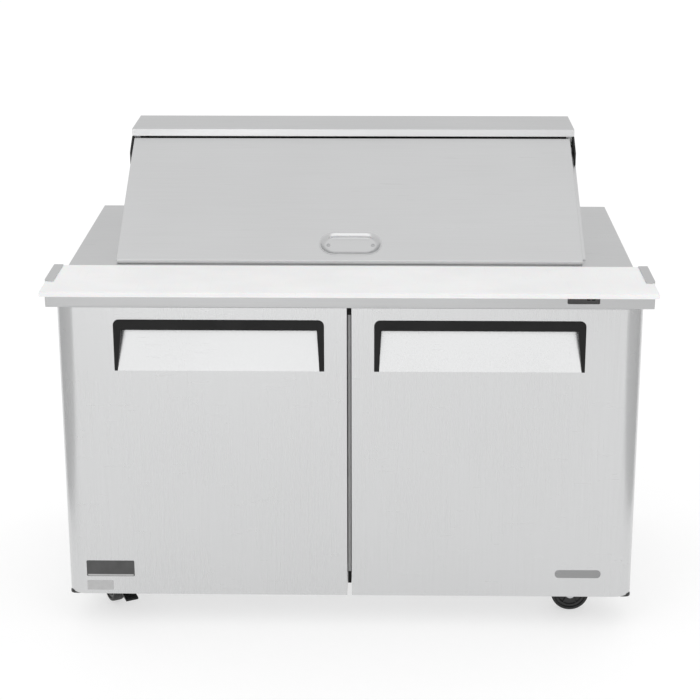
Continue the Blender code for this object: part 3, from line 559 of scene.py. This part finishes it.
def make_back_panel():
    """The rear service panel with its screws, over the louvred machine grille."""
    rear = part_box("cabinet_body")[1].y
    panel = prism(rounded(0.700, 0.176, 0.010, 5, (0, 0.748)), "Y", rear - 0.0002, rear + 0.0010)
    dress(placed(panel, "rear_service_panel"), STEEL_X, "table", slot="stainless", bevel=0.0004)
    heads = [(x, z) for x in (-0.686, -0.343, 0.0, 0.343, 0.686) for z in (0.584, 0.912)]
    spots = [screw((x, rear + 0.0009, z), "Y", 1, 0.0042, 0.0010) for x, z in heads]
    dress(placed(merged(*spots), "rear_panel_screws"), ZINC, "table", slot="zinc")


def make_grille():
    refined("rear_grille", STEEL_DULL, 0.0003)
    low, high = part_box("rear_grille")
    blades = []
    for column in (-0.345, 0.345):
        for row in range(11):
            z = low.z + 0.054 + row * 0.030
            lip = [(low.y, z - 0.0006), (low.y, z + 0.0004), (low.y - 0.0058, z + 0.0118),
                   (low.y - 0.0064, z + 0.0112)]
            blades.append(prism(lip, "X", column - 0.281, column + 0.281))
    dress(placed(merged(*blades), "rear_louvre_blades"), STEEL_DULL, "table", slot="stainless_dull")
    heads = [(x, z) for x in (-0.700, 0.0, 0.700) for z in (low.z + 0.014, high.z - 0.014)]
    spots = [screw((x, high.y - 0.0001, z), "Y", 1, 0.0040, 0.0006) for x, z in heads]
    dress(placed(merged(*spots), "rear_grille_screws"), ZINC, "table", slot="zinc")


make_body()
make_back_panel()
make_grille()


# Work surface

def make_board():
    refined("cutting_board", BOARD_WHITE, 0.0018, 4)
    low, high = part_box("temperature_display")
    centre = ((low.x + high.x) / 2, (low.z + high.z) / 2)
    half = ((high.x - low.x) / 2, (high.z - low.z) / 2)
    bezel = stepped([(half[0], half[1], 0.003, high.y), (half[0], half[1], 0.003, low.y + 0.0005),
                     (half[0] - 0.0006, half[1] - 0.0006, 0.003, low.y),
                     (half[0] - 0.0035, half[1] - 0.0030, 0.002, low.y),
                     (half[0] - 0.0042, half[1] - 0.0036, 0.002, low.y + 0.0006)], centre, facing_front)
    dress(placed(bezel, "display_bezel"), DISPLAY, "table", ("temperature_display",))
    keys = [prism(rounded(0.0042, 0.0022, 0.0018, 4, (centre[0] + x, centre[1])), "Y", low.y + 0.0001,
                  low.y + 0.0007) for x in (0.012, 0.024)]
    dress(placed(merged(*keys), "display_keys"), BLACK_PLASTIC, "table", slot="display_glass")


PAN_PITCH = 0.162
PAN_COLUMNS = 7
PAN_ROWS = (("front", -0.06975), ("middle", 0.10675), ("rear", 0.28325))


def make_pans():
    inner_x, inner_y = 0.0740, 0.0789
    levels = [
        (0.0590, 0.0640, 0.010, 0.8550), (0.0645, 0.0695, 0.014, 0.8572), (0.0652, 0.0702, 0.014, 0.8620),
        (0.0753, 0.0802, 0.016, 0.9522), (0.0804, 0.0877, 0.006, 0.9531), (0.0805, 0.0879, 0.006, 0.9545),
        (0.0798, 0.0872, 0.006, 0.9550), (inner_x + 0.0008, inner_y + 0.0008, 0.016, 0.9550),
        (inner_x, inner_y, 0.0155, 0.9541), (0.0641, 0.0690, 0.0135, 0.8640), (0.0628, 0.0677, 0.012, 0.8588),
        (0.0590, 0.0640, 0.010, 0.8566),
    ]
    middle = (PAN_COLUMNS - 1) // 2
    for row, y in PAN_ROWS:
        pans = [stepped(levels, ((column - middle) * PAN_PITCH, y), facing_up, 5)
                for column in range(PAN_COLUMNS)]
        dress(placed(merged(*pans), f"pans_{row}"), PAN_STEEL, "table", (f"pan_row_{row}",), sharp=50)


make_board()
make_pans()


# Lid

LID_SLOPE = 29.32
LID_ALONG = Vector((0, 0.8719, 0.4897))
LID_UP = Vector((0, -0.4897, 0.8719))
CUP = Vector((0, -0.1218, 0.9959))


def obround(length, width, steps=12):
    reach = length / 2 - width / 2
    return arc((reach, 0), width / 2, -90, 90, steps) + arc((-reach, 0), width / 2, 90, 270, steps)


def on_lid(x, up_slope, height):
    return Vector((x, 0, 0)) + CUP + LID_ALONG * up_slope + LID_UP * height


def make_lid():
    panel = refined("lid_panel", STEEL_X, 0.0016, 3)
    opening = [[on_lid(x, y, height) for x, y in obround(0.1585, 0.0775)] for height in (-0.0136, 0.0200)]
    cut_base(panel, skin(opening))
    refined("lid_liner", WHITE_PLASTIC, 0.0005)
    levels = [
        (0.1150, 0.0380, -0.0126), (0.1280, 0.0500, -0.0124), (0.1420, 0.0630, -0.0100),
        (0.1560, 0.0750, -0.0040), (0.1580, 0.0770, 0.0002), (0.1640, 0.0830, 0.0002),
        (0.1640, 0.0830, 0.0006), (0.1632, 0.0822, 0.0011), (0.1612, 0.0802, 0.0014),
        (0.1590, 0.0780, 0.0012), (0.1570, 0.0755, 0.0002), (0.1520, 0.0700, -0.0024),
        (0.1450, 0.0630, -0.0058), (0.1370, 0.0560, -0.0088), (0.1320, 0.0510, -0.0102),
        (0.1270, 0.0460, -0.0110), (0.1180, 0.0380, -0.0111),
    ]
    rings = []
    for length, width, height in levels:
        lean = 0.0060 * min(1.0, max(0.0, (-height - 0.005) / 0.006))
        rings.append([on_lid(x, y + lean, height) for x, y in obround(length, width)])
    dress(placed(skin(rings), "lid_cup"), STEEL_CUP, "lid", ("lid_handle",), sharp=60)
    turn = Matrix.Rotation(math.radians(LID_SLOPE), 4, "X")
    for side, flip in SIDES:
        nib = [(0.0, -0.0006), (0.0050, -0.0006), (0.0047, 0.0006), (0.0030, 0.0014), (0.0, 0.0017)]
        spot = Matrix.Translation(on_lid(flip * 0.0580, 0.0050, -0.0108)) @ turn
        rivet = moved(turned(nib, "Z", steps=20), spot)
        dress(placed(rivet, f"lid_cup_rivet_{side}"), ZINC, "lid", slot="zinc")
    low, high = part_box("lid_panel")
    strip = [(0.0008, 0.9554), (0.0060, 0.9554), (0.0068, 0.9566), (0.0060, 0.9584), (0.0008, 0.9584),
             (0.0002, 0.9568)]
    seal = prism([(low.y + y, z) for y, z in strip], "X", low.x + 0.004, high.x - 0.004)
    dress(placed(seal, "lid_front_seal"), SEAL_LIGHT, "lid", slot="gasket_grey")


make_lid()


# Doors

def make_door(side):
    refined(f"door_panel_{side}", STEEL_Z, 0.0008, 2, 12)
    refined(f"handle_trim_{side}", BLACK_PLASTIC, 0.0012, 3)
    body = f"door_{side}"

    low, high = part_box(f"door_panel_{side}")
    fold = [(0.0030, high.y - 0.0002), (0.0030, high.y + 0.0005), (0.0145, high.y + 0.0005),
            (0.0150, high.y - 0.0002)]
    dress(placed(mitred((low.x, low.z), (high.x, high.z), fold), f"door_return_{side}"), STEEL_Z, body,
          slot="stainless")

    low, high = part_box(f"door_gasket_{side}")
    bellows = [(0.0, 0.0), (0.0, 0.0040), (0.0032, 0.0062), (0.0022, 0.0098), (0.0046, 0.0130),
               (0.0192, 0.0130), (0.0216, 0.0098), (0.0206, 0.0062), (0.0240, 0.0040), (0.0240, 0.0)]
    gasket = mitred((low.x, low.z), (high.x, high.z), [(u, low.y + v) for u, v in bellows])
    dress(placed(gasket, f"door_seal_{side}"), GASKET, body, (f"door_gasket_{side}",), bevel=0.0006,
          segments=2, sharp=20)

    low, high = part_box(f"door_liner_{side}")
    centre = ((low.x + high.x) / 2, (low.z + high.z) / 2)
    half = ((high.x - low.x) / 2, (high.z - low.z) / 2)
    steps = [(0.0, 0.012, low.y), (0.0, 0.012, high.y - 0.0030), (0.0030, 0.012, high.y - 0.0004),
             (0.0050, 0.012, high.y), (0.0300, 0.020, high.y), (0.0325, 0.020, high.y - 0.0006),
             (0.0360, 0.020, high.y - 0.0028), (0.0390, 0.018, high.y - 0.0034),
             (0.0700, 0.016, high.y - 0.0034), (0.0730, 0.016, high.y - 0.0030),
             (0.0770, 0.016, high.y - 0.0012), (0.0800, 0.016, high.y - 0.0010)]
    levels = [(half[0] - inset, half[1] - inset, radius, y) for inset, radius, y in steps]
    liner = stepped(levels, centre, facing_front)
    dress(placed(liner, f"door_inner_{side}"), WHITE_PLASTIC, body, (f"door_liner_{side}",), sharp=50)

    refined(f"door_hinge_upper_{side}", ENAMEL, 0.0006)
    low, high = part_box(f"door_hinge_lower_{side}")
    pivot = JOINTS[f"door_{side}_hinge"]["pos_m"]
    plate = 0.005
    web = -0.2435
    middle = (low.x + high.x) / 2
    half = (high.x - low.x) / 2
    corner = arc((middle + half - 0.014, low.y + 0.014), 0.014, -90, 0, 8)
    mirrored = [(2 * middle - x, y) for x, y in reversed(corner)]
    foot = [(middle + half, web), (middle - half, web)] + mirrored + corner
    bend = [(web - plate, low.z + 0.0010), (web, low.z + 0.0010), (web, high.z - 0.0060)]
    bend += [(web + 0.0010, high.z - 0.0040), (high.y, high.z - 0.0040), (high.y, high.z)]
    bend += [(web - 0.0010, high.z), (web - plate, high.z - 0.0040)]
    pin = [(0.0, low.z - 0.0002), (0.0040, low.z - 0.0002), (0.0040, low.z + 0.0155),
           (0.0032, low.z + 0.0170), (0.0, low.z + 0.0170)]
    bracket = merged(prism(foot, "Z", low.z, low.z + plate), prism(bend, "X", low.x, high.x),
                     turned(pin, "Z", (pivot[0], pivot[1], 0), 20))
    dress(placed(bracket, f"hinge_bracket_{side}"), ENAMEL, "table", (f"door_hinge_lower_{side}",),
          bevel=0.0005)
    collar = [(0.0045, low.z - 0.0030), (0.0085, low.z - 0.0030), (0.0092, low.z - 0.0020),
              (0.0092, low.z + 0.0002), (0.0045, low.z + 0.0002)]
    dress(placed(turned(collar, "Z", (pivot[0], pivot[1], 0), 24), f"hinge_collar_{side}"), ZINC, "table",
          slot="zinc")


def make_labels():
    """Blank stand-ins for the stickers and the badge low on the doors."""
    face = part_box("door_panel_left")[0].y
    dark = prism(rounded(0.0630, 0.0225, 0.003, 4, (-0.629, 0.166)), "Y", face - 0.0004, face + 0.0002)
    dress(placed(dark, "label_upper"), LABEL_DARK, "door_left", slot="black_plastic")
    strip = prism(rounded(0.0600, 0.0022, 0.0008, 3, (-0.629, 0.1470)), "Y", face - 0.0006, face - 0.0002)
    dress(placed(strip, "label_upper_strip"), LABEL_LIGHT, "door_left", slot="white_plastic")
    small = prism(rounded(0.0345, 0.0135, 0.0025, 4, (-0.6575, 0.1175)), "Y", face - 0.0004, face + 0.0002)
    dress(placed(small, "label_lower"), LABEL_LIGHT, "door_left", slot="white_plastic")
    levels = [(0.0600, 0.0110, 0.0105, face + 0.0002), (0.0600, 0.0110, 0.0105, face - 0.0008),
              (0.0592, 0.0102, 0.0100, face - 0.0014), (0.0575, 0.0085, 0.0084, face - 0.0014),
              (0.0568, 0.0078, 0.0077, face - 0.0010)]
    badge = stepped(levels, (0.598, 0.158), facing_front)
    dress(placed(badge, "badge_blank"), STEEL_BADGE, "door_right", slot="stainless_dull", sharp=40)


for door_side, _ in SIDES:
    make_door(door_side)
make_labels()


# Casters

WHEEL_R = 0.0508
TRAIL = 0.038


def mirror_profile(half):
    return half + [(r, -h) for r, h in reversed(half)]


TYRE = mirror_profile([
    (0.0418, 0.0130), (0.0424, 0.0150), (0.0440, 0.0159), (0.0470, 0.0158), (0.0490, 0.0146),
    (0.0501, 0.0125), (0.0506, 0.0100), (0.0508, 0.0072), (0.0508, 0.0062), (0.0503, 0.0058),
    (0.0503, 0.0050), (0.0508, 0.0046),
])
HUB = mirror_profile([
    (0.0060, 0.0155), (0.0112, 0.0155), (0.0124, 0.0148), (0.0132, 0.0118), (0.0150, 0.0092),
    (0.0170, 0.0086), (0.0300, 0.0086), (0.0325, 0.0092), (0.0345, 0.0122), (0.0360, 0.0134),
    (0.0400, 0.0134), (0.0414, 0.0126),
])


def make_caster(place):
    stem = centre_of(f"caster_mount_{place}")
    hub = centre_of(f"caster_axle_{place}")
    turn = math.atan2(hub.y - stem.y, hub.x - stem.x)
    stand = Matrix.Translation((stem.x, stem.y, 0)) @ Matrix.Rotation(turn, 4, "Z")
    fork = f"fork_{place}"
    wheel = f"wheel_{place}"

    tyre = moved(turned(TYRE, "Y", (TRAIL, 0, WHEEL_R), 64), stand)
    dress(placed(tyre, f"tyre_{place}"), RUBBER, wheel, (f"caster_wheel_{place}",), sharp=40)
    ribs = []
    for k in range(6):
        for out in (-1, 1):
            rib = block((0.0125, out * 0.0110 - 0.0030, -0.0016), (0.0335, out * 0.0110 + 0.0016, 0.0016))
            rib.transform(Matrix.Translation((TRAIL, 0, WHEEL_R)) @ Matrix.Rotation(math.pi * k / 3, 4, "Y"))
            ribs.append(rib)
    core = merged(turned(HUB, "Y", (TRAIL, 0, WHEEL_R), 48), *ribs)
    dress(placed(moved(core, stand), f"hub_{place}"), HUB_PLASTIC, wheel, slot="tyre_rubber", sharp=40)

    refined(f"caster_fork_{place}", ZINC, 0.0009, 3)
    refined(f"caster_axle_{place}", ZINC, 0.0008, 2)
    refined(f"caster_mount_{place}", ZINC, 0.0008, 2)
    nut = merged(prism(hexagon(0.0080), "Z", 0.0965, 0.1047),
                 turned([(0.0082, 0.1020), (0.0150, 0.1028), (0.0150, 0.1046), (0.0082, 0.1046)], "Z"))
    dress(placed(moved(nut, stand), f"kingpin_nut_{place}"), ZINC, fork, slot="zinc", bevel=0.0004)
    washers = []
    for out in (-1, 1):
        rim = [(0.0062, out * 0.0214), (0.0112, out * 0.0214), (0.0112, out * 0.0221), (0.0062, out * 0.0221)]
        washers.append(turned(rim, "Y", (TRAIL, 0, WHEEL_R), 28))
    dress(placed(moved(merged(*washers), stand), f"axle_washers_{place}"), ZINC, fork, slot="zinc")
    bolts = []
    top = 0.1266
    for x in (-0.037, 0.037):
        for y in (-0.024, 0.024):
            bolts.append(prism(hexagon(0.0058, (stem.x + x, stem.y + y)), "Z", top - 0.0040, top))
    dress(placed(merged(*bolts), f"mount_bolts_{place}"), ZINC, "table", slot="zinc", bevel=0.0004)
    if place.startswith("front"):
        refined(f"brake_pedal_{place}", BLACK_PLASTIC, 0.0012, 3)
        treads = []
        for k in range(6):
            x = -0.079 - k * 0.0062
            z = 0.0700 + (0.1150 + x) * 0.0080 / 0.0450
            treads.append(block((x - 0.0010, -0.0140, z - 0.0006), (x + 0.0010, 0.0140, z + 0.0011)))
        dress(placed(moved(merged(*treads), stand), f"pedal_ribs_{place}"), BLACK_PLASTIC, f"brake_{place}",
              slot="black_plastic", bevel=0.0004)


for caster_place in PLACES:
    make_caster(caster_place)


# Inside

PILASTER_EDGE = 0.6742
PILASTER_Y = (-0.170, 0.130)
SLOT_LOW = 0.222
SLOT_PITCH = 0.0254
SLOT_COUNT = 14
COIL_PITCH = 0.0254


def make_shelf(side, flip):
    """A wire shelf on two slotted pilasters with their clips."""
    low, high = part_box(f"shelf_{side}")
    centre = (low + high) / 2
    rim = 0.0030
    corner = rounded((high.x - low.x) / 2 - rim, (high.y - low.y) / 2 - rim, 0.016, 6, (centre.x, centre.y))
    wires = [sweep([(x, y, centre.z) for x, y in corner], rim, 10, loop=True)]
    count = 25
    for k in range(count):
        x = low.x + 0.0085 + (high.x - low.x - 0.017) * k / (count - 1)
        ends = [(x, low.y + 0.0034, high.z - 0.0016), (x, high.y - 0.0034, high.z - 0.0016)]
        wires.append(sweep(ends, 0.0016, 8))
    for y in (centre.y - 0.095, centre.y + 0.095):
        ends = [(low.x + 0.003, y, low.z + 0.0010), (high.x - 0.003, y, low.z + 0.0010)]
        wires.append(sweep(ends, 0.0022, 8))
    dress(placed(merged(*wires), f"wire_shelf_{side}"), COATED_WIRE, "table", (f"shelf_{side}",), sharp=50)

    edge = flip * PILASTER_EDGE
    sheet = sorted((edge, edge - flip * 0.0028))
    lug = sorted((edge - flip * 0.0030, edge - flip * 0.0120))
    hole = sorted((edge - flip * 0.0012, edge - flip * 0.0060))
    posts = []
    clips = []
    slots = []
    for y in PILASTER_Y:
        posts.append(block((sheet[0], y - 0.009, 0.200), (sheet[1], y + 0.009, 0.575)))
        clips.append(block((lug[0], y - 0.007, low.z - 0.0085), (lug[1], y + 0.007, low.z - 0.0065)))
        for k in range(SLOT_COUNT):
            z = SLOT_LOW + k * SLOT_PITCH
            slots.append(block((hole[0], y - 0.0045, z - 0.0025), (hole[1], y + 0.0045, z + 0.0025)))
    pilaster = placed(merged(*posts), f"pilasters_{side}")
    cut(pilaster, merged(*slots))
    dress(pilaster, ZINC, "table", slot="zinc", bevel=0.0004)
    dress(placed(merged(*clips), f"shelf_clips_{side}"), ZINC, "table", slot="zinc", bevel=0.0004)


def make_cooling():
    refined("compressor", ENAMEL, 0.0025, 3)
    refined("condenser_coil", FIN_METAL, 0.0)
    refined("condenser_shroud", GALVANISED, 0.0005)
    refined("condenser_fan", BLACK_PLASTIC, 0.0004)
    refined("evaporator_cover", WHITE_PLASTIC, 0.0006)
    refined("evaporator_coil", FIN_METAL, 0.0)
    refined("evaporator_fan", BLACK_PLASTIC, 0.0004)

    low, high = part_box("evaporator_cover")
    front = low.y + 0.030
    centre = (0, (low.z + high.z) / 2)
    wires = []
    for radius in (0.034, 0.046, 0.058, 0.070, 0.082):
        ring = [(centre[0] + radius * math.cos(a), front - 0.0030, centre[1] + radius * math.sin(a))
                for a in (2 * math.pi * k / 40 for k in range(40))]
        wires.append(sweep(ring, 0.0011, 6, loop=True))
    for k in range(6):
        a = 2 * math.pi * k / 6 + 0.3
        ends = [(centre[0] + r * math.cos(a), front - 0.0012, centre[1] + r * math.sin(a))
                for r in (0.030, 0.088)]
        wires.append(sweep(ends, 0.0014, 6))
    dress(placed(merged(*wires), "evaporator_fan_guard"), COATED_WIRE, "table", slot="wire_coating", sharp=60)

    low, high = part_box("condenser_coil")
    bends = []
    for k in range(6):
        for out, x, shift in ((1, high.x, 0.0), (-1, low.x, COIL_PITCH)):
            z = low.z + 0.020 + k * 2 * COIL_PITCH + shift
            y = high.y - 0.018
            if z + COIL_PITCH < high.z:
                inner, outer = x - out * 0.004, x + out * 0.014
                loop = [(inner, y, z), (outer, y, z), (outer, y, z + COIL_PITCH), (inner, y, z + COIL_PITCH)]
                bends.append(sweep(bent(loop, 0.0120), 0.0046, 10))
    dress(placed(merged(*bends), "condenser_bends"), COPPER, "table", slot="aluminium", sharp=60)

    dome_low, dome_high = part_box("compressor")
    x, y = -0.350, 0.335
    pipes = [
        [(x + 0.02, y, dome_high.z - 0.02), (x + 0.02, y, 0.420), (x + 0.02, 0.395, 0.420),
         (0.06, 0.395, 0.420), (0.06, 0.405, 0.452), (0.118, 0.405, 0.452)],
        [(x - 0.03, y + 0.02, dome_high.z - 0.03), (x - 0.03, y + 0.02, 0.500), (-0.560, 0.355, 0.500),
         (-0.560, 0.355, 0.536)],
    ]
    runs = [sweep(bent(path, 0.020), size, 12) for path, size in zip(pipes, (0.0040, 0.0052))]
    dress(placed(merged(*runs), "refrigerant_pipes"), COPPER, "table", slot="aluminium", sharp=60)
    feet = []
    for fx in (-0.088, 0.088):
        for fy in (-0.064, 0.064):
            base = dome_low.z + 0.0058
            foot = [(0.0, base), (0.0095, base), (0.0110, base + 0.004), (0.0085, base + 0.008),
                    (0.0045, base + 0.009), (0.0040, base + 0.014), (0.0, base + 0.014)]
            feet.append(turned(foot, "Z", (x + fx, y + fy, 0), 20))
    dress(placed(merged(*feet), "compressor_feet"), RUBBER, "table", slot="compressor_black")


for shelf_side, shelf_flip in SIDES:
    make_shelf(shelf_side, shelf_flip)
make_cooling()
